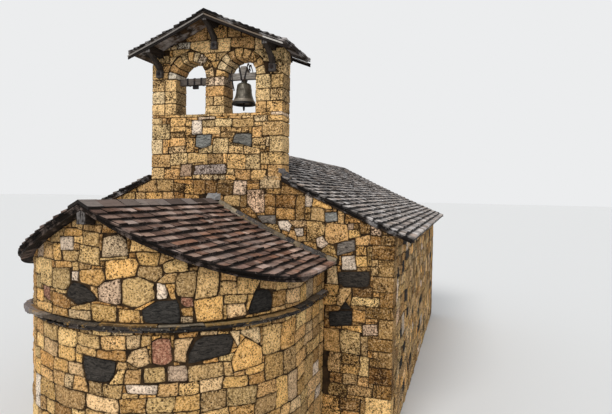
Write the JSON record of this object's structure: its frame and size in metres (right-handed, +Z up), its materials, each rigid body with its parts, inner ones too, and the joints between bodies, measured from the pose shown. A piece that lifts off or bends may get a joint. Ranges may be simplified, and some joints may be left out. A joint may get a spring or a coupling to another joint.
{
  "type": "small chapel",
  "caption": "Small stone chapel: nave, round-ended apse with a slate string course, and a twin-arched bell gable with a hanging bell, all under shingle roofs.",
  "frame": {"origin": "on the lowest ground, under the middle of the outline of the roofs", "axes": "+Z up; +Y along the chapel from the apse to the door in the rear gable; +X to the right, seen from the apse"},
  "size_m": [8.87, 16.87, 9],
  "materials": {
    "masonry": "rough pitted ochre stone",
    "slate": "dark split slate with lichen",
    "flagstones": "worn flagstones",
    "apse_shingles": "weathered reddish brown shingles",
    "grey_shingles": "weathered grey shingles",
    "dark_timber": "dark weathered timber",
    "pale_timber": "silvered timber",
    "forged_iron": "forged iron, dull",
    "shoe_iron": "weathered grey iron",
    "bronze": "dark bronze patina",
    "door_boards": "weathered oak boards"
  },
  "bodies": {
    "chapel": {"nave_wall_left": "masonry", "nave_wall_right": "masonry", "west_wall_left": "masonry", "west_wall_right": "masonry", "west_gable": "masonry", "east_wall_left": "masonry", "east_wall_right": "masonry", "east_wall_head": "masonry", "bell_gable_base": "masonry", "bell_pier_left": "masonry", "bell_pier_middle": "masonry", "bell_pier_right": "masonry", "bell_gable_head": "masonry", "apse_wall_left_side": "masonry", "apse_wall_left": "masonry", "apse_wall_front": "masonry", "apse_wall_right": "masonry", "apse_wall_right_side": "masonry", "apse_string_course": "slate", "apse_drip_course": "slate", "nave_floor": "flagstones", "apse_floor": "flagstones", "apse_roof_left": "apse_shingles", "apse_roof_right": "apse_shingles", "apse_ridge_cap": "apse_shingles", "nave_roof_left": "grey_shingles", "nave_roof_right": "grey_shingles", "nave_ridge_cap": "grey_shingles", "bell_roof_left": "grey_shingles", "bell_roof_right": "grey_shingles", "bell_roof_ridge_cap": "grey_shingles", "nave_beams": "dark_timber", "apse_ridge_beam": "dark_timber", "bell_roof_purlins": "dark_timber", "bell_roof_struts": "dark_timber", "bell_verge_boards": "dark_timber", "empty_headstock": "pale_timber", "bell_bearings": "forged_iron", "empty_headstock_irons": "forged_iron", "bell_strut_shoes": "shoe_iron", "door_leaf": "door_boards"},
    "bell_set": {"bell": "bronze", "bell_headstock": "pale_timber", "headstock_straps": "forged_iron", "bell_lever": "forged_iron"},
    "clapper_body": {"clapper": "forged_iron"}
  },
  "joints": [
    {"name": "bell_swing", "type": "hinge", "parent": "chapel", "child": "bell_set", "pos_m": [0.608, -4.0525, 7.69], "axis": [1, 0, 0], "range_deg": [-45, 45]},
    {"name": "clapper_swing", "type": "hinge", "parent": "bell_set", "child": "clapper_body", "pos_m": [0.608, -4.0525, 7.465], "axis": [1, 0, 0], "range_deg": [-22, 22]}
  ]
}
